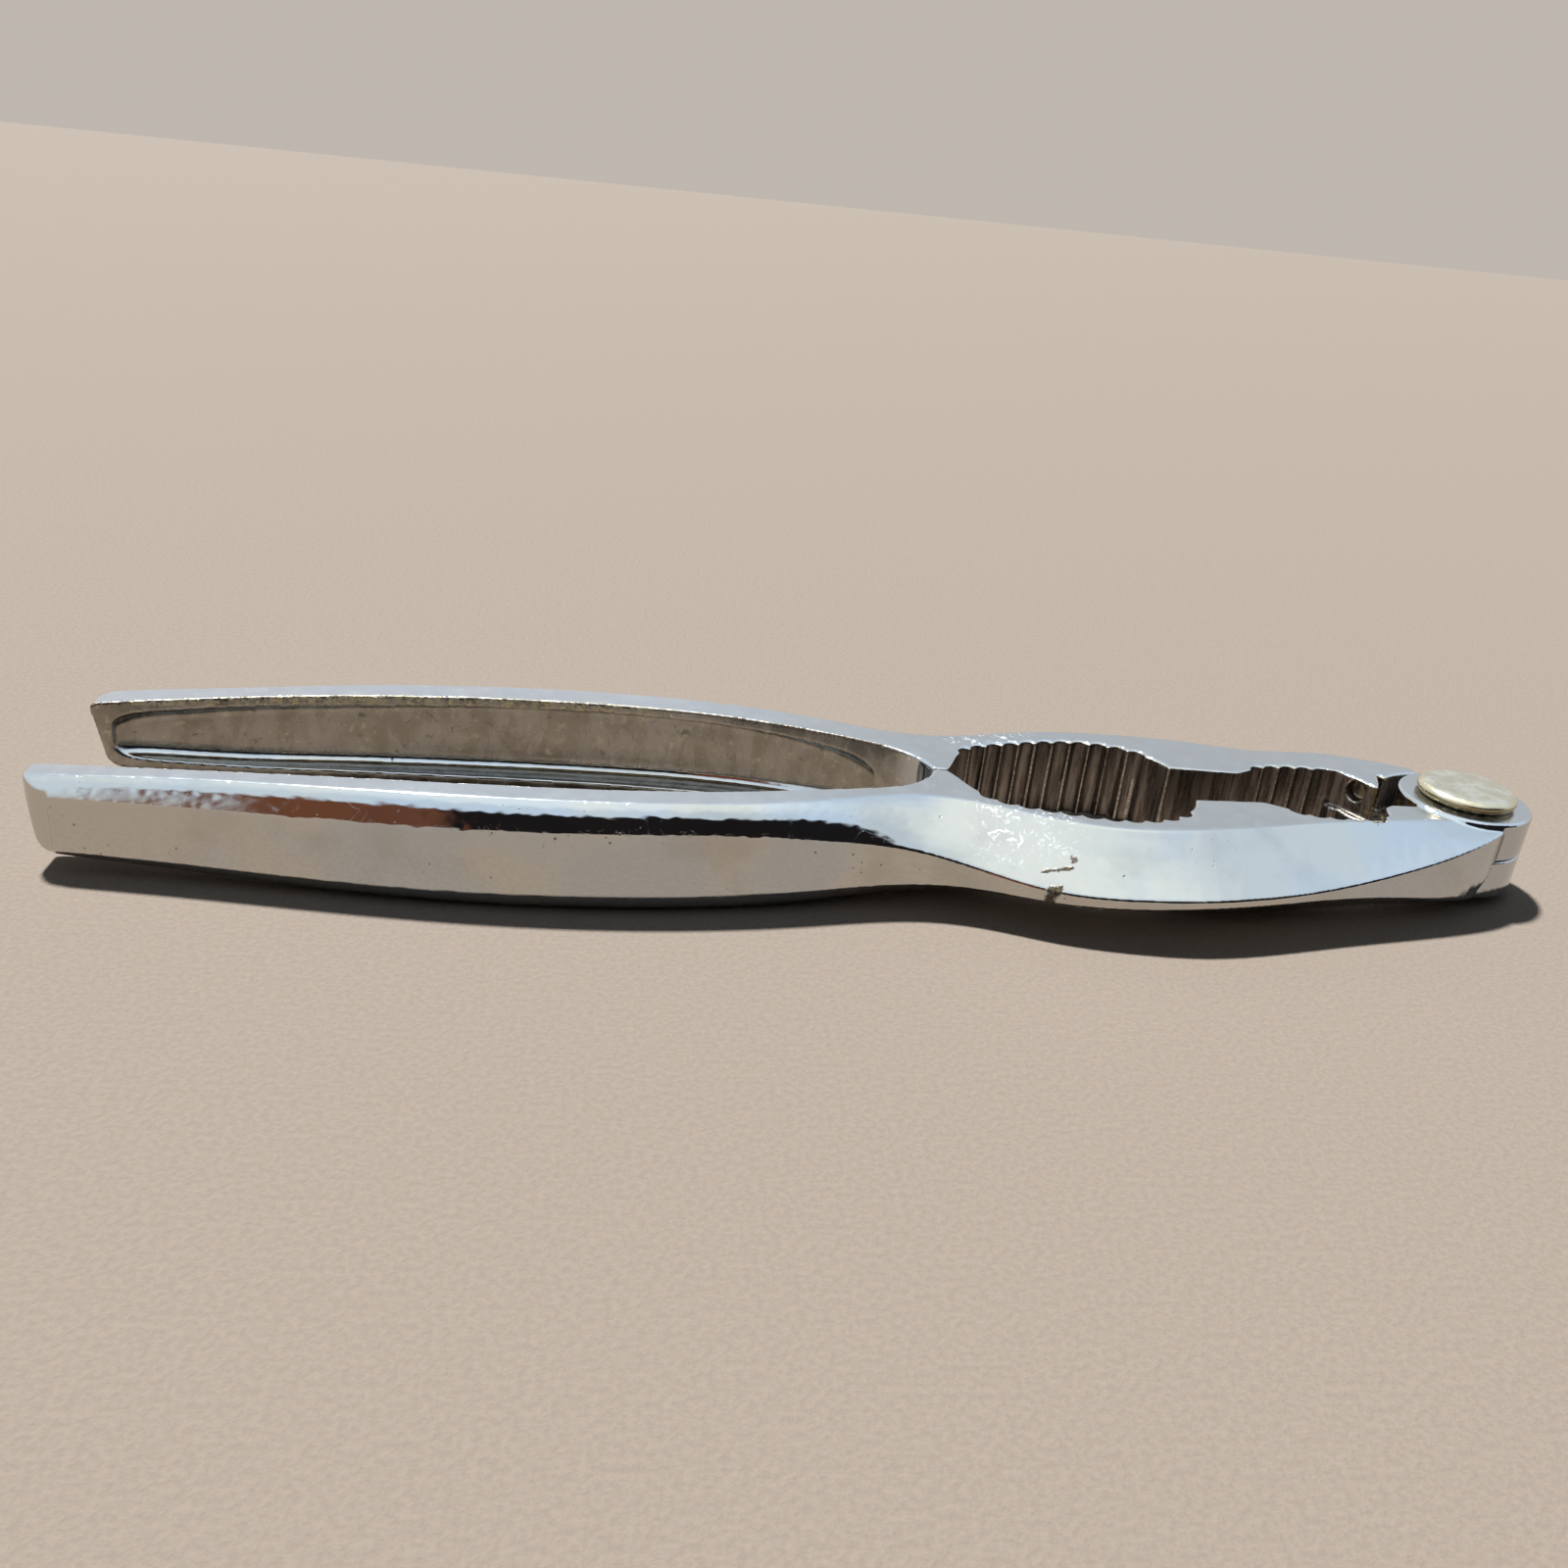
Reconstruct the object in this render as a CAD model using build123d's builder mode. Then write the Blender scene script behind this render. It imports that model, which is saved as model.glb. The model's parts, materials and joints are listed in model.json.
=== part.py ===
from build123d import *
import os

# Lever nutcracker: two die-cast levers, one turned over, joined by a riveted half-lap hinge.
# Millimetres. X runs along the closed levers with the hinge at the +X end, Z is the hinge axis, up,
# and the origin is the middle of the underside. Places along a lever are given as s, measured from
# the hinge axis towards the handle tip, and w, measured outwards from the closing plane y = 0.

os.makedirs("parts", exist_ok=True)

# ---- driving dimensions ----
overall_length = 180.0
overall_height = 13.7      # rest plane to the top of the rivet head
mid_z = 6.45               # rest plane to mid-height, where the two lap disks meet

ear_radius = 8.1           # lap disk of each lever
ear_height = 10.5          # both lap disks together
ear_rim_radius = 0.35
lap_clearance = 0.05       # from mid-height to each disk
shoulder_clearance = 0.5   # concave shoulder round the other lever's disk
neck_gap = 0.15            # each lever stops this far from the closing plane

tip_plan_radius = 3.4      # rounding of the outer tip corner in plan
tip_upper_radius = 0.6     # rounding of the upper tip edge
tip_lower_radius = 1.9     # rounding of the lower tip edge
tip_slope = 1.2            # the end face leans in by this much towards its foot
channel_corner = 1.7

flute_radius = 1.25
flute_inset = 0.5          # flute centres stand this far inside the jaw wall
large_jaw_flutes = 11
large_jaw_first = 7.6      # first flute, along the jaw wall
large_jaw_pitch = 2.5
small_jaw_flutes = 6
small_jaw_first = 4.4
small_jaw_pitch = 2.35

rivet_radius = 3.0
rivet_fit = 0.05           # radial clearance in the bores
head_radius = 6.0
head_edge = 0.5
head_washer_thickness = 0.5
head_washer_bevel = 0.28   # underside bevel that leaves a gap round the head
tail_washer_thickness = 0.4
washer_radius = 5.8
tail_radius = 4.6
tail_flat_radius = 3.6

pin_hole_radius = 1.35     # blind core-pin hole in the block beside the lap
pin_hole_depth = 1.5

hinge_x = overall_length / 2 - ear_radius
tip_s = overall_length - ear_radius
half_ear = ear_height / 2
through = overall_height + 4
hinge_axis = Axis((hinge_x, 0, 0), (0, 0, 1))


def at(s, w):
    """Plan point of the near lever, which lies on the -Y side."""
    return (hinge_x - s, -w)


def side(s, height):
    """Point of the side elevation, height above mid-height."""
    return (hinge_x - s, mid_z + height)


def across(s):
    """Plane of a lever cross-section at s: local x is w, local y is height above mid-height."""
    return Plane((hinge_x - s, 0, mid_z), x_dir=(0, -1, 0), z_dir=(-1, 0, 0))


def corner_point(strip_w, strip_h, face_w, face_h, bulge):
    """Middle of the corner between a strip and the outer face, bulge outside its chord."""
    run_w = face_w - strip_w
    run_h = strip_h - face_h
    chord = (run_w**2 + run_h**2) ** 0.5
    return ((strip_w + face_w) / 2 + bulge * run_h / chord, (strip_h + face_h) / 2 + bulge * run_w / chord)


# Cross-sections of the lever's outside, from the handle tip to the hinge: s, w of the outer face,
# then for the upper and for the lower side the w of the strip's outer edge, the strip's height from
# mid-height, the outer face's height from mid-height, and how far the corner between them bulges
# out (+) or is hollow (-).
body_sections = [
    (tip_s + 1.3, 13.2, (11.4, 4.15, 2.6, 0.3), (11.9, 4.15, 3.4, 0.2)),
    (158, 14.9, (13.0, 5.15, 2.7, 0.32), (13.8, 5.15, 4.0, 0.3)),
    (144, 16.6, (14.6, 5.85, 2.7, 0.38), (15.5, 5.8, 4.2, 0.3)),
    (128, 18.2, (16.1, 6.3, 2.7, 0.42), (17.0, 6.15, 4.3, 0.35)),
    (110, 18.5, (16.4, 6.4, 2.8, 0.44), (17.2, 6.25, 4.35, 0.35)),
    (96, 17.3, (15.1, 6.3, 2.8, 0.46), (16.0, 6.2, 4.25, 0.35)),
    (86, 15.8, (12.6, 6.1, 2.5, 0.55), (14.1, 6.0, 3.9, 0.4)),
    (79, 14.8, (9.8, 5.8, 1.9, 0.6), (12.1, 5.75, 3.5, 0.45)),
    (73, 14.8, (8.2, 5.5, 1.1, 0.5), (10.8, 5.5, 3.0, 0.4)),
    (67, 16.2, (8.8, 5.3, 0.1, 0.3), (11.0, 5.3, 2.5, 0.2)),
    (59, 19.2, (12.0, 5.2, -0.7, -0.1), (13.2, 5.2, 2.2, -0.05)),
    (50, 20.9, (14.2, 5.2, -0.6, -0.15), (15.0, 5.2, 1.8, -0.1)),
    (42, 21.1, (13.8, 5.2, -0.3, -0.15), (15.1, 5.2, 1.3, -0.1)),
    (33, 19.6, (12.1, 5.15, -0.25, -0.12), (14.3, 5.15, 1.2, -0.1)),
    (24, 17.2, (9.7, 5.05, 0.1, -0.1), (12.8, 5.05, 1.4, -0.05)),
]
near_end_sections = [
    (14, 14.4, (7.6, 4.9, 1.4, -0.05), (11.2, 4.9, 2.3, 0.05)),
    (6, 11.8, (6.6, 4.85, 2.9, 0.05), (9.9, 4.85, 3.6, 0.1)),
    (0, 8.9, (6.2, 4.83, 4.2, 0.03), (8.1, 4.83, 4.3, 0.05)),
    (-3, 6.4, (5.4, 4.8, 4.5, 0.02), (6.0, 4.8, 4.4, 0.02)),
]
far_end_sections = [
    (14, 14.9, (7.6, 4.9, 1.4, -0.05), (13.4, 4.9, 3.1, 0.05)),
    (6, 12.3, (6.6, 4.85, 2.9, 0.05), (11.6, 4.85, 3.9, 0.05)),
    (0, 9.1, (6.2, 4.83, 4.2, 0.03), (8.7, 4.83, 4.4, 0.03)),
    (-3, 6.4, (5.4, 4.8, 4.5, 0.02), (6.1, 4.8, 4.5, 0.02)),
]

# Handle channel, from its tip end to its neck end: s, w of its floor, half height of its mouth.
channel_sections = [
    (169.6, 9.5, 2.3),
    (167, 11.0, 2.9),
    (162, 12.0, 3.4),
    (154, 13.2, 3.95),
    (144, 14.6, 4.3),
    (128, 16.2, 4.75),
    (110, 16.5, 4.9),
    (96, 15.2, 4.75),
    (88, 13.1, 4.4),
    (82, 10.6, 3.9),
    (78, 8.3, 3.2),
    (75.5, 6.1, 2.3),
]

# Jaw walls, from the neck towards the hinge.
large_jaw_wall = Spline(
    at(68.2, neck_gap), at(67, 2.6), at(65.3, 6.0), at(63.2, 7.8), at(59.5, 9.2), at(54, 10.7),
    at(49.5, 11.4), at(45, 11.0), at(42, 9.8), at(39.6, 7.8), at(38, 4.8),
)
small_jaw_wall = Spline(
    at(29.2, 4.4), at(27.4, 5.3), at(25, 6.6), at(22, 7.2), at(18.5, 7.4), at(15, 7.1)
)

# ---- lever casting, as the near lever lies ----
with BuildPart() as ear:
    with BuildSketch(Plane.XY.offset(mid_z + lap_clearance)):
        with Locations((hinge_x, 0)):
            Circle(ear_radius)
    extrude(amount=half_ear - lap_clearance)
    fillet(ear.faces().sort_by(Axis.Z)[-1].edges(), ear_rim_radius)

def lever_casting(end_sections):
    """One lever as the near lever lies, its tip edges still square."""
    with BuildPart() as casting:
        for s, face_w, upper_side, lower_side in body_sections + end_sections:
            up_w, up_h, up_face, up_bulge = upper_side
            low_w, low_h, low_face, low_bulge = lower_side
            upper = corner_point(up_w, up_h, face_w, up_face, up_bulge)
            lower = corner_point(low_w, low_h, face_w, low_face, low_bulge)
            with BuildSketch(across(s)):
                with BuildLine():
                    Polyline((low_w, -low_h), (0, -low_h), (0, up_h), (up_w, up_h))
                    ThreePointArc((up_w, up_h), upper, (face_w, up_face))
                    Line((face_w, up_face), (face_w, -low_face))
                    ThreePointArc((face_w, -low_face), (lower[0], -lower[1]), (low_w, -low_h))
                make_face()
        loft()

        # Outer corner of the handle tip, in plan.
        with BuildSketch(Plane.XY.offset(-2)):
            with BuildLine():
                Line(at(tip_s, 0), at(tip_s, 13.5 - tip_plan_radius))
                RadiusArc(
                    at(tip_s, 13.5 - tip_plan_radius), at(tip_s - tip_plan_radius, 13.5), -tip_plan_radius
                )
                Polyline(
                    at(tip_s - tip_plan_radius, 13.5), at(tip_s - tip_plan_radius, 17), at(tip_s + 3, 17),
                    at(tip_s + 3, 0), at(tip_s, 0),
                )
            make_face()
        extrude(amount=through, mode=Mode.SUBTRACT)

        # Space between the levers in plan, from the tip to the small jaw.
        with BuildSketch(Plane.XY.offset(-2)):
            with BuildLine():
                handle_gap = Spline(
                    at(tip_s + 4, 8.3), at(150, 11.3), at(128, 12.9), at(108, 12.9), at(92, 10.9),
                    at(80, 7.8), at(73.5, 5.0), at(70, neck_gap),
                )
                Line(handle_gap @ 1, large_jaw_wall @ 0)
                add(large_jaw_wall)
                Line(large_jaw_wall @ 1, small_jaw_wall @ 0)
                add(small_jaw_wall)
                Polyline(small_jaw_wall @ 1, at(15, -2), at(tip_s + 4, -2), handle_gap @ 0)
            make_face()
        extrude(amount=through, mode=Mode.SUBTRACT)

        # Beside the lap the two halves differ: the upper half carries the ear, the lower half the block.
        with BuildSketch(Plane.XY.offset(mid_z)):
            with BuildLine():
                Polyline(
                    at(15.5, -2), at(15.5, 7.1), at(14.6, 6.9), at(13.2, 5.9), at(12.8, 4.4), at(12.3, 3.3),
                    at(11.4, 2.7), at(5, 2.6), at(5, -2), close=True,
                )
            make_face()
        extrude(amount=through, mode=Mode.SUBTRACT)
        with BuildSketch(Plane.XY.offset(mid_z)):
            with BuildLine():
                Polyline(
                    at(15.5, -2), at(15.5, 7.1), at(14.6, 7.6), at(13.7, 7.5), at(12.3, 5.8), at(11.2, 3.8),
                    at(10.7, 3.0), at(10.1, 2.7), at(8.3, 7.2), at(7.3, 5.6), at(5, -2), close=True,
                )
            make_face()
        extrude(amount=-through, mode=Mode.SUBTRACT)

        # Cusped flutes along both jaw walls.
        with BuildSketch(Plane.XY.offset(-2)):
            for wall, first, pitch, count in (
                (large_jaw_wall, large_jaw_first, large_jaw_pitch, large_jaw_flutes),
                (small_jaw_wall, small_jaw_first, small_jaw_pitch, small_jaw_flutes),
            ):
                for i in range(count):
                    distance = min(first + i * pitch, wall.length - 0.3)
                    inward = wall.tangent_at(distance, position_mode=PositionMode.LENGTH).rotate(Axis.Z, 90)
                    on_wall = wall.position_at(distance, position_mode=PositionMode.LENGTH)
                    center = on_wall + inward * flute_inset
                    with Locations((center.X, center.Y)):
                        Circle(flute_radius)
        extrude(amount=through, mode=Mode.SUBTRACT)

        # Handle channel, open towards the other lever.
        for s, floor_w, half_h in channel_sections:
            with BuildSketch(across(s)):
                with Locations((floor_w / 2 - 1, 0)):
                    RectangleRounded(floor_w + 2, 2 * half_h, channel_corner)
        loft(mode=Mode.SUBTRACT)

        # End of the body beside the hinge, sloping back below mid-height.
        with BuildSketch(Plane.XZ.offset(-1)):
            with BuildLine():
                Polyline(
                    side(-0.6, 6), side(-0.6, 4.8), side(-1.9, 0), side(2.2, -4.9), side(2.2, -6),
                    side(-12, -6), side(-12, 6), close=True,
                )
            make_face()
        extrude(amount=20, mode=Mode.SUBTRACT)

        # Lap: clearance for the other lever's disk below mid-height, this lever's disk above it.
        with BuildSketch(Plane.XY.offset(mid_z + lap_clearance)):
            with Locations((hinge_x, 0)):
                Circle(ear_radius + shoulder_clearance)
            with Locations(at(2, -1)):
                Circle(ear_radius + 1)
        extrude(amount=-through, mode=Mode.SUBTRACT)
        add(ear.part)
        with BuildSketch(Plane.XY.offset(-2)):
            with Locations((hinge_x, 0)):
                Circle(rivet_radius + rivet_fit)
        extrude(amount=through, mode=Mode.SUBTRACT)

        # Blind core-pin hole in the sloping end wall of the small jaw.
        hole_plane = Plane(
            (hinge_x - 11.9, -5.1, mid_z - half_ear + 2.2), x_dir=(0, 0, 1), z_dir=(0.86, -0.5, 0)
        )
        with BuildSketch(hole_plane.offset(-1.5)):
            Circle(pin_hole_radius)
        extrude(amount=1.5 + pin_hole_depth, mode=Mode.SUBTRACT)
    return casting.part


# Outside of a rounded handle tip: its upper and lower edges, and its end face, which leans in.
tip_top = 4.2
foot_s = tip_s - tip_slope
foot_end_s = foot_s - 1.1 * tip_lower_radius
with BuildPart() as tip_outside:
    with BuildSketch(Plane.XZ.offset(-20)):
        with BuildLine():
            ThreePointArc(
                side(tip_s - tip_upper_radius, tip_top),
                side(tip_s - 0.29 * tip_upper_radius, tip_top - 0.29 * tip_upper_radius),
                side(tip_s, tip_top - tip_upper_radius),
            )
            Line(side(tip_s, tip_top - tip_upper_radius), side(foot_s, tip_lower_radius - tip_top))
            ThreePointArc(
                side(foot_s, tip_lower_radius - tip_top),
                side(foot_s - 0.35 * tip_lower_radius, 0.29 * tip_lower_radius - tip_top),
                side(foot_end_s, -tip_top - 0.05),
            )
            Polyline(
                side(foot_end_s, -tip_top - 0.05), side(foot_end_s, -6), side(tip_s + 3, -6),
                side(tip_s + 3, 6), side(tip_s - tip_upper_radius, 6),
                side(tip_s - tip_upper_radius, tip_top),
            )
        make_face()
    extrude(amount=40)

with BuildPart() as near_lever:
    add(lever_casting(near_end_sections))
    add(tip_outside.part, mode=Mode.SUBTRACT)
near_lever.part.label = "near_lever"
export_step(near_lever.part, "parts/near_lever.step")

# ---- far lever: turned over about the long axis ----
with BuildPart() as far_lever:
    add(lever_casting(far_end_sections).rotate(Axis((0, 0, mid_z), (1, 0, 0)), 180))
    add(tip_outside.part, mode=Mode.SUBTRACT)
far_lever.part.label = "far_lever"
export_step(far_lever.part, "parts/far_lever.step")

# ---- rivet: low domed head above, shank, formed tail below with the flat it rests on ----
head_seat = mid_z + half_ear + head_washer_thickness
tail_seat = mid_z - half_ear - tail_washer_thickness
with BuildPart() as rivet:
    with BuildSketch(Plane((hinge_x, 0, 0), x_dir=(1, 0, 0), z_dir=(0, -1, 0))):
        with BuildLine():
            Line((0, 0), (tail_flat_radius, 0))
            ThreePointArc(
                (tail_flat_radius, 0), (tail_radius - 0.3, 0.4 * tail_seat), (tail_radius, tail_seat)
            )
            Polyline(
                (tail_radius, tail_seat), (rivet_radius, tail_seat), (rivet_radius, head_seat),
                (head_radius, head_seat), (head_radius, head_seat + head_edge),
            )
            Spline(
                (head_radius, head_seat + head_edge), (head_radius * 0.6, overall_height - 0.27),
                (0, overall_height), tangents=((-0.5, 1), (-1, 0)),
            )
            Line((0, overall_height), (0, 0))
        make_face()
    revolve(axis=hinge_axis)
rivet.part.label = "rivet"
export_step(rivet.part, "parts/rivet.step")

# ---- washers under the rivet head and tail ----
with BuildPart() as head_washer:
    with BuildSketch(Plane.XY.offset(mid_z + half_ear)):
        with Locations((hinge_x, 0)):
            Circle(washer_radius)
            Circle(rivet_radius + rivet_fit, mode=Mode.SUBTRACT)
    extrude(amount=head_washer_thickness)
    chamfer(
        head_washer.edges().filter_by(GeomType.CIRCLE).group_by(Axis.Z)[0].sort_by(SortBy.RADIUS)[-1],
        head_washer_bevel,
    )
head_washer.part.label = "head_washer"
export_step(head_washer.part, "parts/head_washer.step")

with BuildPart() as tail_washer:
    with BuildSketch(Plane.XY.offset(tail_seat)):
        with Locations((hinge_x, 0)):
            Circle(washer_radius)
            Circle(rivet_radius + rivet_fit, mode=Mode.SUBTRACT)
    extrude(amount=tail_washer_thickness)
tail_washer.part.label = "tail_washer"
export_step(tail_washer.part, "parts/tail_washer.step")
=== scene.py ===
import json
import math

import bmesh
import bpy
from mathutils import Matrix, Vector

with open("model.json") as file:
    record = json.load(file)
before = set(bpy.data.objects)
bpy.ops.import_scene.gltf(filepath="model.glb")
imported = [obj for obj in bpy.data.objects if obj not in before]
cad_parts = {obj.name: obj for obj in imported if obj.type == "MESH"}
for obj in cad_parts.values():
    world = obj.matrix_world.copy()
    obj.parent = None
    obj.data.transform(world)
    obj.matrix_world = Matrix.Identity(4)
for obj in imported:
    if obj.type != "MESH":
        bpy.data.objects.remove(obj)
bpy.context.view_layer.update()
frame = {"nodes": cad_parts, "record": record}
MM = 0.001

# ---- places on the object, in millimetres ----
PIVOT = [value / MM for value in frame["record"]["behaviour"]["joints"][0]["pos_m"]]
HINGE_X = PIVOT[0]
MID_Z = PIVOT[2]
NEAR, FAR = -1, 1                 # side of the closing plane on which a lever lies
BLOCK_S = 9.0                     # along the lever from the hinge axis: end of the hinge block,
NECK_S = 69.3                     # end of the jaws
CHANNEL_S = 72.0                  # and start of the hollow
JAW_DEPTH = 12.9                  # from the closing plane outwards
RING_RADIUS = 8.0                 # rim of the lap disks
FLOOR_HALF_M = 3.0                # metres

# ---- soft edges: voxel size in millimetres, and smoothing passes ----
SKIN = {
    "near_lever": (0.18, 9),
    "far_lever": (0.18, 9),
    "rivet": (0.11, 4),
    "head_washer": (0.10, 3),
    "tail_washer": (0.10, 3),
}

# ---- finish ----
CHROME_COOL = (0.54, 0.57, 0.59, 1)
CHROME_WARM = (0.60, 0.585, 0.54, 1)
CHROME_AGED = (0.46, 0.45, 0.425, 1)
SATIN = (0.46, 0.475, 0.485, 1)
JAW_FLOOR = (0.310, 0.275, 0.245, 1)
JAW_DARK = (0.130, 0.105, 0.090, 1)
JAW_CUSP_RUB_AND_HIGHLIGHT = (0.80, 0.74, 0.65, 1)
STAIN = (0.44, 0.415, 0.375, 1)
STAIN_LIGHT = (0.58, 0.52, 0.41, 1)
STAIN_DARK = (0.29, 0.265, 0.225, 1)
BARE_BRASS = (0.62, 0.50, 0.25, 1)
CLEAN_METAL = (0.80, 0.80, 0.78, 1)
GRIME_AND_PAINTED_SHADE = (0.045, 0.036, 0.028, 1)
CRUMB = (0.20, 0.17, 0.085, 1)
FROST = (0.93, 0.95, 0.97, 1)
RIM_CREAM = (0.60, 0.54, 0.36, 1)
NICKEL_DULL = (0.60, 0.54, 0.40, 1)
NICKEL = (0.70, 0.66, 0.57, 1)
NICKEL_RIM = (0.62, 0.52, 0.30, 1)
NICKEL_PAINTED_SHADE = (0.34, 0.27, 0.14, 1)
BRASS_DARK = (0.13, 0.10, 0.055, 1)
BRASS = (0.50, 0.42, 0.24, 1)
FLOOR_DARK = (0.325, 0.278, 0.240, 1)
FLOOR_LIGHT = (0.365, 0.314, 0.273, 1)

# ---- sky, by direction ----
SKY_LOW = (0.72, 0.74, 0.78, 1)
SKY_HIGH = (0.86, 1.02, 1.20, 1)
SKY_TOP = (1.22, 1.34, 1.40, 1)
SKY_BACK_LEFT = (0.92, 0.94, 1.0, 1)
SKY_BACK_RIGHT = (0.70, 0.73, 0.75, 1)
SKY_FRONT_BLACK = (0.016, 0.014, 0.015, 1)
SKY_FRONT_BROWN = (0.21, 0.082, 0.046, 1)
SKY_SEEN = (0.52, 0.475, 0.43, 1)   # what the camera sees of it
SKY_DIFFUSE_LEVEL = 0.06            # its light on anything but a reflection

# ---- sun lamp ----
SUN_DIRECTION = (0.22, -0.36, -1.0)
SUN_WIDTH_DEG = 4.3
SUN_STRENGTH = 4.9
SUN_COLOR = (1.0, 0.965, 0.91)

# ---- camera, fitted to outlines in the photo ----
CAMERA_MM = (-26.59, -153.19, 77.84)
CAMERA_YAW_DEG, CAMERA_PITCH_DEG, CAMERA_ROLL_DEG = 7.54, 24.11, 6.0
LENS = 31.82
SENSOR_WIDTH = 36
CLIP_START_M = 0.005


class Graph:
    """The node tree of a material or world, and short names for the nodes put in it."""

    def __init__(self, owner):
        owner.use_nodes = True
        self.owner = owner
        self.tree = owner.node_tree

    def node(self, kind, *values, **settings):
        made = self.tree.nodes.new("ShaderNode" + kind)
        for key, value in settings.items():
            setattr(made, key, value)
        for index, value in enumerate(values):
            self.put(made.inputs[index], value)
        return made

    def put(self, socket, value):
        if isinstance(value, bpy.types.NodeSocket):
            self.tree.links.new(value, socket)
        elif value is not None:
            socket.default_value = value

    def math(self, operation, a, b=0.0):
        return self.node("Math", a, b, operation=operation).outputs[0]

    def size(self, value):
        """The value without its sign."""
        return self.math("ABSOLUTE", value)

    def add(self, a, b):
        return self.math("ADD", a, b)

    def sub(self, a, b):
        return self.math("SUBTRACT", a, b)

    def mul(self, *values):
        product = values[0]
        for value in values[1:]:
            product = self.math("MULTIPLY", product, value)
        return product

    def top(self, *values):
        highest = values[0]
        for value in values[1:]:
            highest = self.math("MAXIMUM", highest, value)
        return highest

    def invert(self, value):
        return self.sub(1.0, value)

    def distance(self, a, b):
        """Length of the vector (a, b)."""
        return self.math("SQRT", self.add(self.mul(a, a), self.mul(b, b)))

    def step(self, value, low, high, start=0.0, end=1.0):
        """Smooth change from start at low to end at high; low may be the larger."""
        if low > high:
            low, high, start, end = high, low, end, start
        made = self.node("MapRange", value, low, high, start, end,
                         interpolation_type="SMOOTHSTEP")
        return made.outputs[0]

    def band(self, value, low, high, soft):
        """One between low and high, with soft ends."""
        return self.mul(self.step(value, low - soft, low + soft),
                        self.step(value, high + soft, high - soft))

    def mix(self, factor, a, b):
        """Colour a, turning into colour b."""
        made = self.node("Mix", data_type="RGBA")
        self.put(made.inputs[0], factor)
        self.put(made.inputs[6], a)
        self.put(made.inputs[7], b)
        return made.outputs[2]

    def blend(self, factor, a, b):
        """Number a, turning into number b."""
        made = self.node("Mix", data_type="FLOAT")
        for index, value in ((0, factor), (2, a), (3, b)):
            self.put(made.inputs[index], value)
        return made.outputs[0]

    def stretch(self, vector, turn, scale):
        return self.node("Mapping", vector, None, turn, scale).outputs[0]

    def noise(self, vector, scale, detail=3.0, rough=0.55, warp=0.0):
        made = self.node("TexNoise")
        for key, value in (("Vector", vector), ("Scale", scale), ("Detail", detail),
                           ("Roughness", rough), ("Distortion", warp)):
            self.put(made.inputs[key], value)
        return made.outputs[0]

    def cells(self, vector, scale):
        """Distance to the nearest of many scattered points."""
        made = self.node("TexVoronoi", feature="F1")
        self.put(made.inputs["Vector"], vector)
        self.put(made.inputs["Scale"], scale)
        return made.outputs["Distance"]

    def coordinates(self):
        """The place in millimetres, its three parts, and the three parts of the normal."""
        source = self.node("TexCoord")
        place = self.node("VectorMath", source.outputs["Object"], operation="SCALE")
        place.inputs["Scale"].default_value = 1 / MM
        place = place.outputs[0]
        xyz = self.node("SeparateXYZ", place).outputs
        normal = self.node("SeparateXYZ", source.outputs["Normal"]).outputs
        return place, xyz, normal

    def scratches(self, place, turn, low=0.66, high=0.72, length=0.06, width=2.6):
        """Fine lines along one direction, broken up by a broad noise."""
        lines = self.noise(self.stretch(place, turn, (length, width, width)), 1.0, 2.0, 0.6, 0.4)
        patches = self.step(self.noise(place, 0.11, 2.0), 0.45, 0.62)
        return self.mul(self.step(lines, low, high), patches)

    def pits(self, place, scale, size, amount):
        """Sparse, ragged specks, only where a broad noise allows them."""
        frayed = self.mul(self.noise(place, scale * 5, 3.0, 0.7), size * 1.6)
        ragged = self.add(self.cells(place, scale), frayed)
        specks = self.step(ragged, size * 1.75, size * 1.25)
        return self.mul(specks, self.step(self.noise(place, 0.16, 3.0), amount, amount + 0.08))

    def finish(self, color, metallic, roughness, height, depth):
        """The material, with a bump of the given height times depth."""
        shader = self.tree.nodes["Principled BSDF"]
        self.put(shader.inputs["Base Color"], color)
        self.put(shader.inputs["Metallic"], metallic)
        self.put(shader.inputs["Roughness"], roughness)
        bump = self.node("Bump")
        bump.inputs["Strength"].default_value = 1.0
        bump.inputs["Distance"].default_value = depth
        self.put(bump.inputs["Height"], height)
        self.put(shader.inputs["Normal"], bump.outputs[0])
        return self.owner


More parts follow.
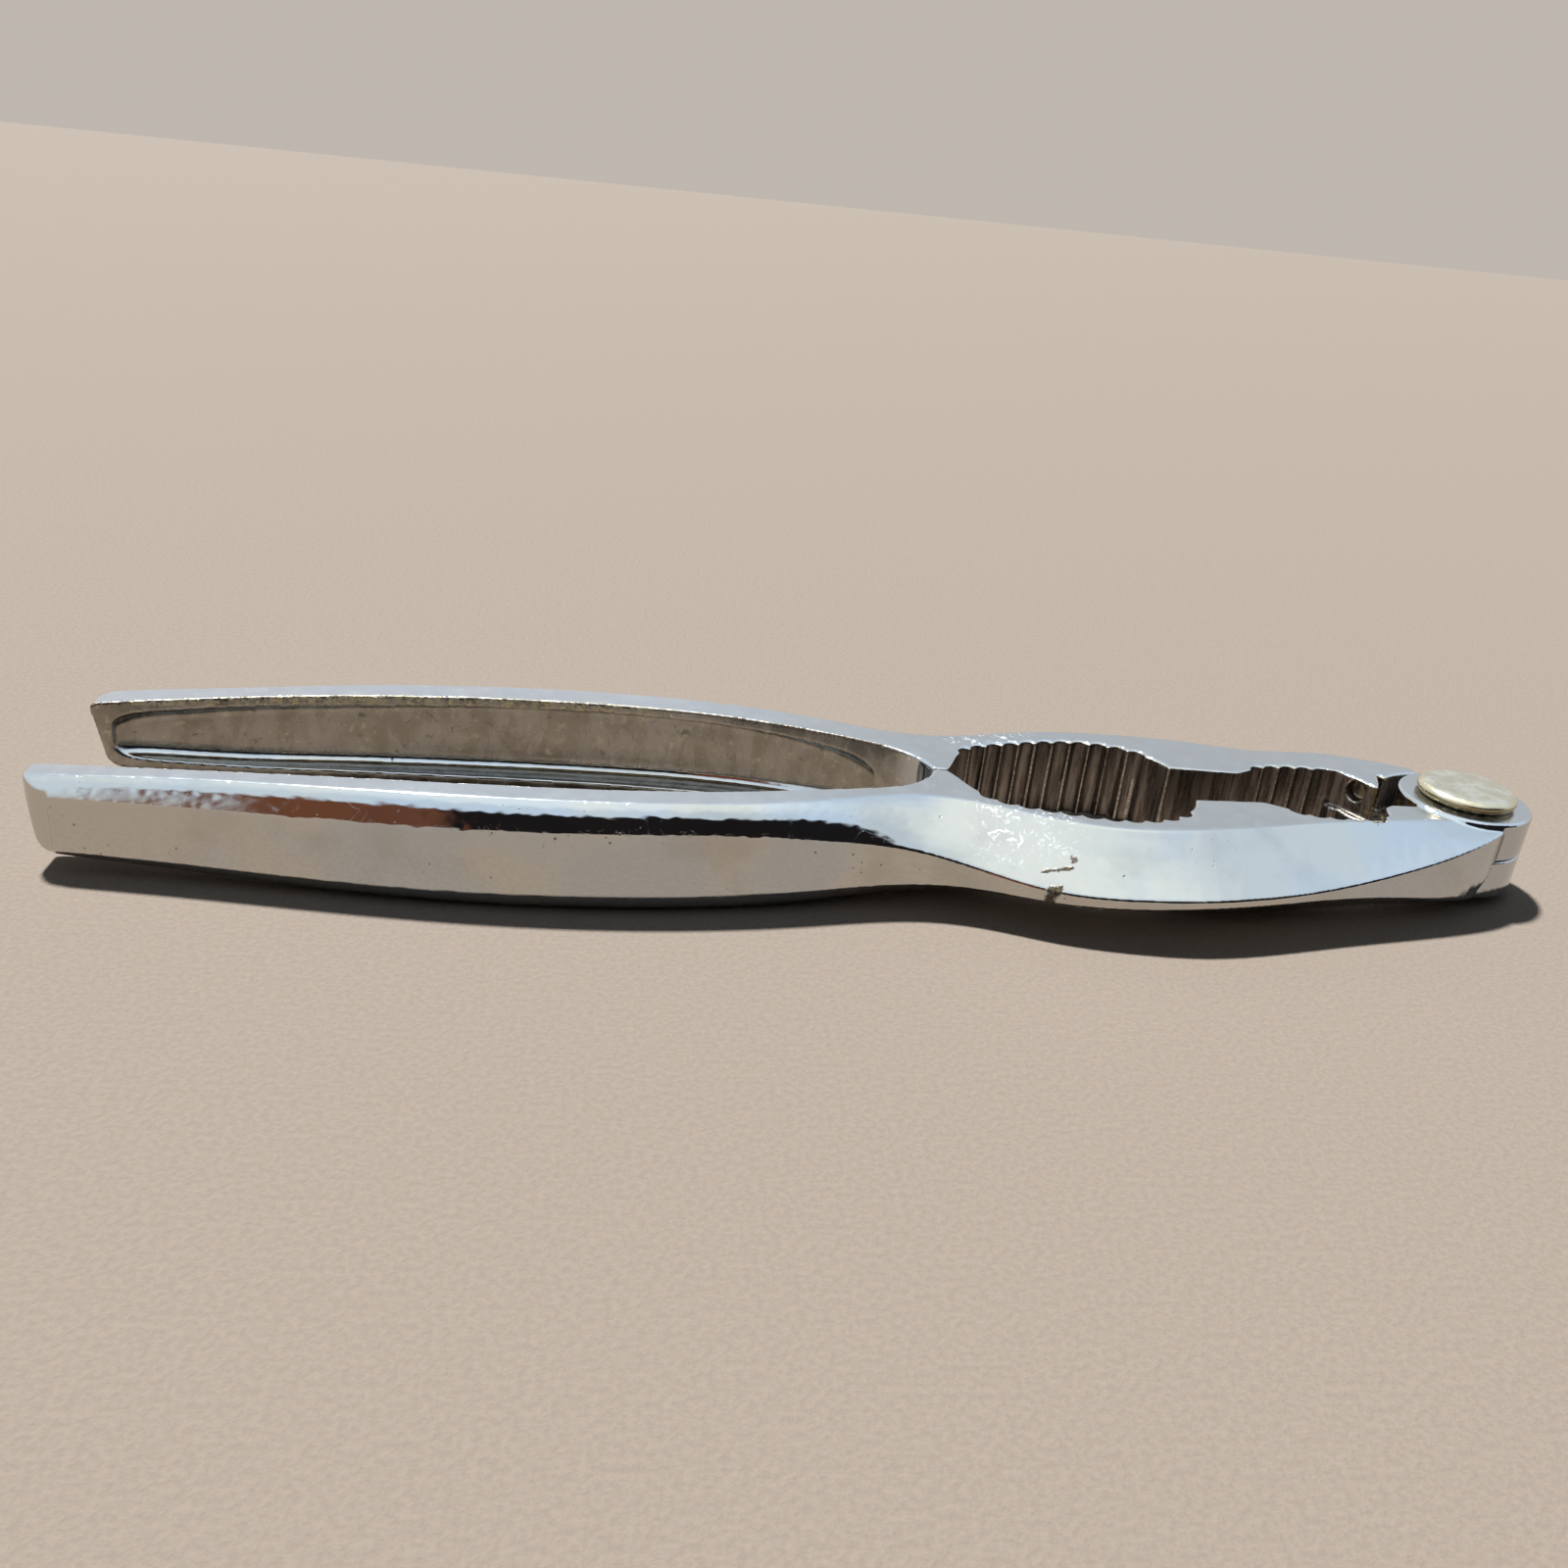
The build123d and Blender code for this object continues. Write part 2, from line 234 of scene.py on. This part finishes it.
def lever_material(name, side):
    """Worn chrome, blackened jaws and a stained hollow, laid out along the lever.

    s runs from the hinge axis to the handle tip, w from the closing plane outwards and h up
    from the middle, all in millimetres.
    """
    g = Graph(bpy.data.materials.new(name))
    place, (x, y, z), (_, ny, nz) = g.coordinates()
    s = g.sub(HINGE_X, x)
    w = g.mul(y, side)
    h = g.sub(z, MID_Z)
    inward = g.mul(ny, -side)
    off_middle = g.size(h)
    ledge = g.mul(g.step(off_middle, 3.7, 3.2), g.step(w, 8.3, 7.8))
    steep = g.top(g.step(g.size(nz), 0.62, 0.4), ledge)
    flat = g.step(g.size(nz), 0.90, 0.985)
    point = g.node("NewGeometry").outputs["Pointiness"]
    ridge = g.step(point, 0.505, 0.535)
    crease = g.step(point, 0.495, 0.460)

    blotch = g.noise(place, 0.09, 4.0, 0.6)
    cloud = g.noise(place, 0.35, 5.0, 0.65, 0.3)
    grain = g.noise(place, 3.2, 4.0, 0.7)
    ring = g.step(g.distance(s, y), RING_RADIUS + 0.35, RING_RADIUS + 0.05)

    # where each finish lies
    jaw = g.mul(g.band(s, BLOCK_S, NECK_S, 0.25), g.step(w, JAW_DEPTH, JAW_DEPTH - 0.7), steep)
    lap = g.mul(g.step(s, BLOCK_S + 3.5, BLOCK_S + 2.0), g.step(w, 9.2, 8.2), g.invert(ring),
                steep)
    hollow_wall = g.step(inward, 0.10, 0.45)
    under_flange = g.step(g.mul(nz, g.step(h, -0.8, 0.8, -1.0, 1.0)), -0.15, -0.45)
    facing_in = g.top(hollow_wall, g.mul(under_flange, g.step(w, 17.4, 16.9)))
    hollow = g.mul(g.step(s, CHANNEL_S - 2.0, CHANNEL_S + 3.0), facing_in)
    strip = g.mul(flat, g.step(off_middle, 3.4, 4.0))

    # chrome, with finer marks where hands and nuts rub it
    marks = g.top(
        g.scratches(place, (0.0, 0.12, 0.20)),
        g.scratches(place, (0.3, -0.35, 0.9), 0.70, 0.76, 0.09, 2.2),
        g.scratches(place, (0.2, 0.5, -0.7), 0.72, 0.78, 0.12, 3.0),
    )
    pits = g.top(g.pits(place, 1.0, 0.13, 0.56), g.pits(place, 0.42, 0.09, 0.50))
    dull = g.step(blotch, 0.48, 0.70)
    tint = g.noise(place, 0.055, 2.0)
    color = g.mix(g.step(tint, 0.42, 0.60), CHROME_COOL, CHROME_WARM)
    color = g.mix(g.mul(dull, 0.55), color, CHROME_AGED)
    smudge = g.step(g.noise(place, 0.22, 5.0, 0.7, 1.0), 0.50, 0.66)
    contour = g.size(g.sub(g.noise(place, 0.34, 3.0, 0.6, 0.8), 0.5))
    hairs = g.mul(g.step(contour, 0.006, 0.002), g.step(g.noise(place, 0.17, 2.0), 0.50, 0.58))
    rough = g.add(g.mul(marks, 0.045), g.mul(smudge, 0.03))
    rough = g.add(g.step(cloud, 0.35, 0.75, 0.035, 0.075), rough)
    rough = g.add(rough, g.mul(hairs, 0.10))
    color = g.mix(g.mul(hairs, 0.25), color, CHROME_AGED)
    color = g.mix(g.mul(strip, 0.85), color, SATIN)
    rough = g.blend(g.mul(strip, 0.9), rough, g.step(cloud, 0.3, 0.8, 0.20, 0.32))
    color = g.mix(g.mul(pits, 0.6), color, GRIME_AND_PAINTED_SHADE)
    rough = g.add(rough, g.mul(pits, 0.4))

    # frosted, scratched scoop beside the neck and the grime that gathers at its outer edge
    scoop = g.mul(g.band(s, 55.0, 67.0, 2.5), g.band(w, 8.6, 16.0, 1.2), g.step(nz, 0.3, 0.6))
    frost = g.mul(scoop, g.step(g.noise(place, 0.9, 6.0, 0.75, 1.2), 0.54, 0.62))
    rough = g.add(rough, g.mul(frost, 0.38))
    color = g.mix(g.mul(frost, 0.5), color, FROST)
    rows = g.top(
        g.mul(g.band(s, 56.2, 60.3, 0.4), g.band(w, 16.9, 17.5, 0.35)),
        g.mul(g.band(s, 55.6, 56.8, 0.4), g.band(w, 15.9, 16.9, 0.4)),
        g.mul(g.band(s, 57.6, 59.9, 0.5), g.band(w, 18.5, 19.6, 0.5)),
    )
    crumbs = g.step(g.add(rows, g.mul(g.noise(place, 1.1, 5.0, 0.8, 0.8), 1.6)), 1.55, 1.75)
    color = g.mix(crumbs, color, g.mix(g.step(grain, 0.42, 0.6), GRIME_AND_PAINTED_SHADE, CRUMB))
    rough = g.blend(crumbs, rough, 0.75)

    # hollow back: dull, blotched and yellowed, with painted shade in its creases, cleaner on the
    # lower flange
    rain = g.noise(g.stretch(place, (0, 0, 0), (0.30, 0.30, 0.12)), 1.0, 5.0, 0.62, 0.6)
    spots = g.noise(place, 0.8, 6.0, 0.7, 0.6)
    stains_and_crease_shade = g.mix(g.step(rain, 0.36, 0.66), STAIN_DARK, STAIN)
    stains_and_crease_shade = g.mix(g.mul(g.step(spots, 0.56, 0.66), 0.7), stains_and_crease_shade, STAIN_LIGHT)
    stains_and_crease_shade = g.mix(g.mul(g.step(spots, 0.40, 0.33), 0.5), stains_and_crease_shade, GRIME_AND_PAINTED_SHADE)
    # painted shade: darker in the concave creases of the hollow
    stains_and_crease_shade = g.mix(g.mul(crease, 0.6), stains_and_crease_shade, GRIME_AND_PAINTED_SHADE)
    rim_flash = g.mul(hollow, g.step(h, 3.9, 4.5), g.step(s, 98.0, 108.0),
                      g.step(g.noise(place, 1.1, 4.0, 0.7), 0.46, 0.56))
    stains_and_crease_shade = g.mix(g.mul(rim_flash, 0.8), stains_and_crease_shade, RIM_CREAM)
    clean = g.mul(g.step(nz, 0.12, 0.45), g.step(h, 1.0, -1.0))
    dirt = g.mul(hollow, g.invert(g.mul(clean, 0.9)), g.step(cloud, 0.15, 0.45, 0.8, 1.0))
    color = g.mix(dirt, color, stains_and_crease_shade)
    rough = g.blend(dirt, rough, g.step(rain, 0.3, 0.7, 0.20, 0.34))

    # jaws: dark flutes with streaks down them, a painted highlight on the cusps (also standing
    # for rubbed plating) and painted shade in the creases
    streak = g.noise(g.stretch(place, (0, 0, 0), (1.6, 1.6, 0.14)), 1.0, 4.0, 0.6)
    black = g.mix(g.step(streak, 0.40, 0.62), JAW_DARK, JAW_FLOOR)
    black = g.mix(g.mul(g.step(cloud, 0.60, 0.75), 0.5), black, STAIN)
    # painted highlight on the flute cusps, also standing for rubbed plating
    black = g.mix(g.mul(ridge, g.step(grain, 0.35, 0.6), 0.75), black, JAW_CUSP_RUB_AND_HIGHLIGHT)
    # painted shade in the concave creases between the flutes
    black = g.mix(g.mul(crease, 0.85), black, JAW_DARK)
    soot = g.top(jaw, lap)
    color = g.mix(soot, color, black)
    rough = g.blend(soot, rough, g.step(streak, 0.3, 0.7, 0.22, 0.38))

    # plating worn through on the edges of the jaws and of the hollow
    near_work = g.mul(
        g.step(w, JAW_DEPTH + 1.4, JAW_DEPTH - 0.4), g.step(s, BLOCK_S - 1.5, BLOCK_S),
        g.step(s, 168.0, 160.0), g.step(off_middle, 3.2, 4.2),
    )
    worn = g.mul(g.step(point, 0.53, 0.60), g.step(grain, 0.44, 0.58), near_work, g.invert(ring))
    bare = g.mix(g.step(cloud, 0.42, 0.56), STAIN_LIGHT, CLEAN_METAL)
    color = g.mix(g.mul(worn, 0.8), color, bare)
    rough = g.blend(worn, rough, 0.3)

    # brass bared in small chips at the foot of the hinge block
    chips = g.mul(g.band(s, 7.0, 10.5, 0.8), g.step(w, 8.0, 6.5), steep,
                  g.step(g.noise(place, 0.9, 4.0, 0.7), 0.50, 0.56))
    color = g.mix(chips, color, BARE_BRASS)

    # relief: a slow swell of the plating, rough dirt and flutes, sunken pits and scratches
    metallic = g.blend(g.top(crumbs, g.mul(soot, g.step(streak, 0.6, 0.4), 0.3)), 1.0, 0.2)
    swell = g.mul(g.noise(place, 0.13, 2.0), 1.2)
    fine = g.mul(grain, g.blend(soot, g.blend(strip, 0.04, 0.08), 0.9))
    dirt_relief = g.add(g.mul(grain, 0.35), g.add(rain, g.mul(spots, 0.6)))
    fine = g.add(fine, g.mul(dirt, dirt_relief))
    fine = g.add(fine, g.mul(rim_flash, grain, 2.5))
    height = g.add(g.add(swell, fine), g.mul(soot, g.add(g.mul(streak, 1.6), cloud)))
    sunken = g.add(g.mul(pits, 0.7), g.mul(g.add(marks, hairs), 0.08))
    height = g.sub(g.add(height, g.mul(crumbs, grain, 3.5)), sunken)
    return g.finish(color, metallic, rough, height, 0.03 * MM)


def rivet_material():
    """Warm nickel, satin on the dome, with painted shade on its sides and underside."""
    g = Graph(bpy.data.materials.new("rivet_nickel"))
    place, (x, y, _), (nx, ny, nz) = g.coordinates()
    radius = g.distance(g.sub(x, HINGE_X), y)
    cloud = g.noise(place, 0.45, 5.0, 0.65, 0.4)
    grain = g.noise(place, 3.5, 3.0, 0.7)
    rings = g.node("CombineXYZ", g.mul(radius, 2.4), g.mul(nx, 0.4), g.mul(ny, 0.4)).outputs[0]
    around = g.noise(rings, 1.0, 3.0)
    marks = g.top(g.scratches(place, (0, 0, 0.4), 0.62, 0.70, 0.12, 3.0),
                  g.scratches(place, (0, 0, -1.0), 0.64, 0.72, 0.10, 2.6))
    pits = g.pits(place, 0.8, 0.10, 0.46)
    color = g.mix(g.step(cloud, 0.35, 0.7), NICKEL_DULL, NICKEL)
    rim = g.step(radius, 4.9, 5.8)
    color = g.mix(g.mul(rim, 0.55), color, NICKEL_RIM)
    # painted shade: darker on the sides and underside, where the faces turn away from above
    color = g.mix(g.mul(g.step(nz, 0.35, 0.05), 0.8), color, NICKEL_PAINTED_SHADE)
    color = g.mix(g.mul(pits, 0.8), color, GRIME_AND_PAINTED_SHADE)
    rough = g.step(g.add(cloud, g.mul(around, 0.3)), 0.4, 0.9, 0.17, 0.32)
    rough = g.add(rough, g.mul(marks, 0.15))
    raised = g.add(g.mul(grain, 0.05), g.mul(around, 0.25))
    height = g.sub(raised, g.add(pits, g.mul(marks, 0.12)))
    return g.finish(color, 1.0, rough, height, 0.02 * MM)


def washer_material():
    """Tarnished brass washer."""
    g = Graph(bpy.data.materials.new("washer_brass"))
    place, _, _ = g.coordinates()
    cloud = g.noise(place, 0.8, 5.0, 0.7, 0.4)
    grain = g.noise(place, 4.0, 3.0, 0.7)
    color = g.mix(g.step(cloud, 0.40, 0.62), BRASS_DARK, BRASS)
    color = g.mix(g.mul(g.step(grain, 0.55, 0.7), 0.5), color, GRIME_AND_PAINTED_SHADE)
    rough = g.step(cloud, 0.3, 0.7, 0.45, 0.28)
    return g.finish(color, 1.0, rough, g.add(grain, cloud), 0.03 * MM)


def soften(piece, voxel, passes):
    """Even, dense skin with the small soft edges of a plated casting."""
    remesh = piece.modifiers.new("skin", "REMESH")
    remesh.mode = "VOXEL"
    remesh.voxel_size = voxel * MM
    remesh.use_smooth_shade = True
    smooth = piece.modifiers.new("soft_edges", "SMOOTH")
    smooth.factor = 0.5
    smooth.iterations = passes


def dress():
    """Give every piece of the CAD its finish and its soft edges."""
    finishes = {
        "near_lever": lever_material("chrome_near", NEAR),
        "far_lever": lever_material("chrome_far", FAR),
        "rivet": rivet_material(),
        "head_washer": washer_material(),
        "tail_washer": washer_material(),
    }
    for name, piece in frame["nodes"].items():
        piece.data.materials.clear()
        piece.data.materials.append(finishes[name])
        soften(piece, *SKIN[name])


def placed(name, data):
    """A new object in the scene that shows the given mesh, lamp or camera."""
    thing = bpy.data.objects.new(name, data)
    bpy.context.scene.collection.objects.link(thing)
    return thing


def floor():
    """Plain pale matt floor in place of the cloth."""
    mesh = bpy.data.meshes.new("floor")
    shape = bmesh.new()
    bmesh.ops.create_grid(shape, x_segments=1, y_segments=1, size=FLOOR_HALF_M)
    shape.to_mesh(mesh)
    shape.free()
    piece = placed("floor", mesh)
    g = Graph(bpy.data.materials.new("floor_matt"))
    place, _, _ = g.coordinates()
    weave = g.noise(place, 1.6, 2.0, 0.6)
    color = g.mix(g.step(weave, 0.3, 0.7), FLOOR_DARK, FLOOR_LIGHT)
    mesh.materials.append(g.finish(color, 0.0, 0.9, weave, 0.1 * MM))


def sky():
    """Soft sky, bright overhead, with a black and brown patch in front for the dark reflections.

    Reflections see it in full, everything else is lit by a small part of it, and the camera
    sees a plain colour.
    """
    world = bpy.data.worlds.new("studio")
    bpy.context.scene.world = world
    g = Graph(world)
    x, y, z = g.node("SeparateXYZ", g.node("TexCoord").outputs["Generated"]).outputs
    color = g.mix(g.step(z, 0.10, 0.62), SKY_LOW, SKY_HIGH)
    color = g.mix(g.step(z, 0.80, 0.97), color, SKY_TOP)
    behind = g.mix(g.step(x, 0.0, 0.3), SKY_BACK_LEFT, SKY_BACK_RIGHT)
    color = g.mix(g.mul(g.step(y, 0.1, 0.8), g.step(z, 0.8, 0.2)), color, behind)
    dark = g.mix(g.step(x, -0.19, -0.27), SKY_FRONT_BLACK, SKY_FRONT_BROWN)
    front = g.mul(g.step(y, -0.15, -0.45), g.step(z, 0.74, 0.68), g.step(x, -0.54, -0.45))
    color = g.mix(front, color, dark)
    ray = g.node("LightPath").outputs
    level = g.blend(ray["Is Glossy Ray"], SKY_DIFFUSE_LEVEL, 1.0)
    level = g.blend(ray["Is Camera Ray"], level, 1.0)
    color = g.mix(ray["Is Camera Ray"], color, SKY_SEEN)
    background = g.tree.nodes["Background"]
    g.put(background.inputs["Color"], color)
    g.put(background.inputs["Strength"], level)


def key_light():
    """One distant soft light, high behind the levers and a little to the left."""
    data = bpy.data.lights.new("key", "SUN")
    data.angle = math.radians(SUN_WIDTH_DEG)
    data.energy = SUN_STRENGTH
    data.color = SUN_COLOR
    lamp = placed("key", data)
    lamp.rotation_euler = Vector(SUN_DIRECTION).to_track_quat("-Z", "Y").to_euler()


def camera():
    """A close, slightly rolled camera, low over the near handle."""
    data = bpy.data.cameras.new("camera")
    data.sensor_width = SENSOR_WIDTH
    data.lens = LENS
    data.clip_start = CLIP_START_M
    cam = placed("camera", data)
    yaw, pitch, roll = (math.radians(angle)
                        for angle in (CAMERA_YAW_DEG, CAMERA_PITCH_DEG, CAMERA_ROLL_DEG))
    forward = Vector((math.sin(yaw) * math.cos(pitch), math.cos(yaw) * math.cos(pitch),
                      -math.sin(pitch)))
    right = Vector((math.cos(yaw), -math.sin(yaw), 0))
    up = right.cross(forward)
    tilted_right = right * math.cos(roll) + up * math.sin(roll)
    tilted_up = up * math.cos(roll) - right * math.sin(roll)
    turn = Matrix((tilted_right, tilted_up, -forward)).transposed()
    cam.matrix_world = Matrix.Translation(Vector(CAMERA_MM) * MM) @ turn.to_4x4()
    bpy.context.scene.camera = cam


dress()
floor()
sky()
key_light()
camera()
bpy.context.scene.view_settings.view_transform = "Standard"
